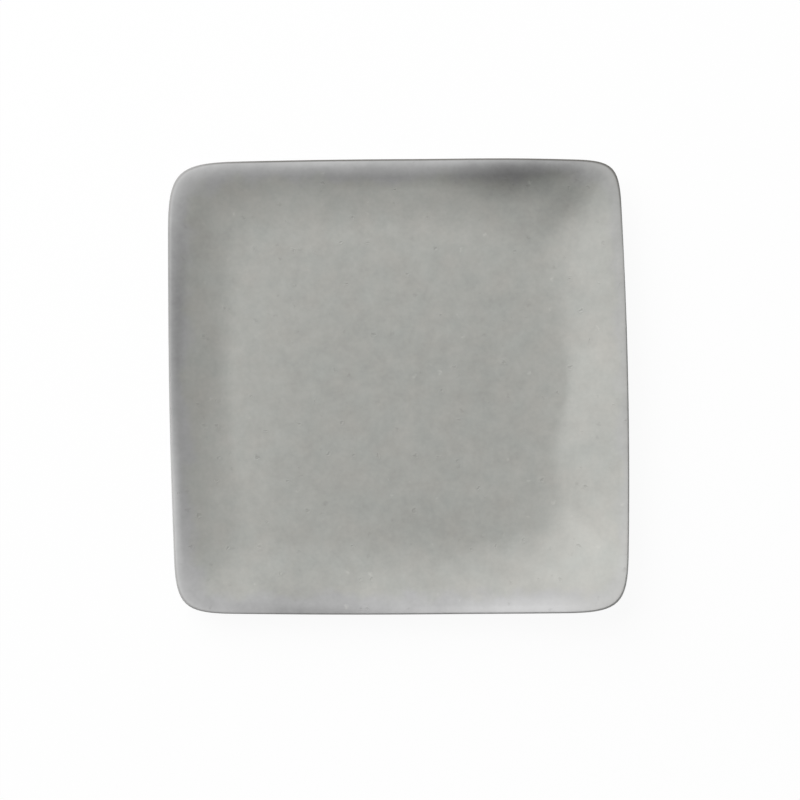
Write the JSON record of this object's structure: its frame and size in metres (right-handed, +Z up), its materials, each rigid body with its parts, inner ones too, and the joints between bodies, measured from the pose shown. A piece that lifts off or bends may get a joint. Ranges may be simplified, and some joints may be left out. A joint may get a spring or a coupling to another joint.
{
  "type": "square plate",
  "caption": "Hand-formed square stoneware plate with soft corners and a low turned-up wall, satin grey glaze, standing on a bare foot ring.",
  "frame": {"origin": "middle of the plate's outline, on the surface that the foot ring stands on", "axes": "+Z up out of the well; +X to the right and +Y to the back, as the plate is seen from above"},
  "size_m": [0.2608, 0.2584, 0.0241],
  "materials": {
    "stoneware": "bare fired stoneware, matt",
    "slip": "fired slip, matt",
    "satin_glaze": "satin grey glaze"
  },
  "bodies": {
    "root": {"clay_body": "stoneware", "foot_ring": "stoneware", "slip_joint": "slip", "face_glaze": "satin_glaze", "base_glaze": "satin_glaze"}
  },
  "joints": []
}
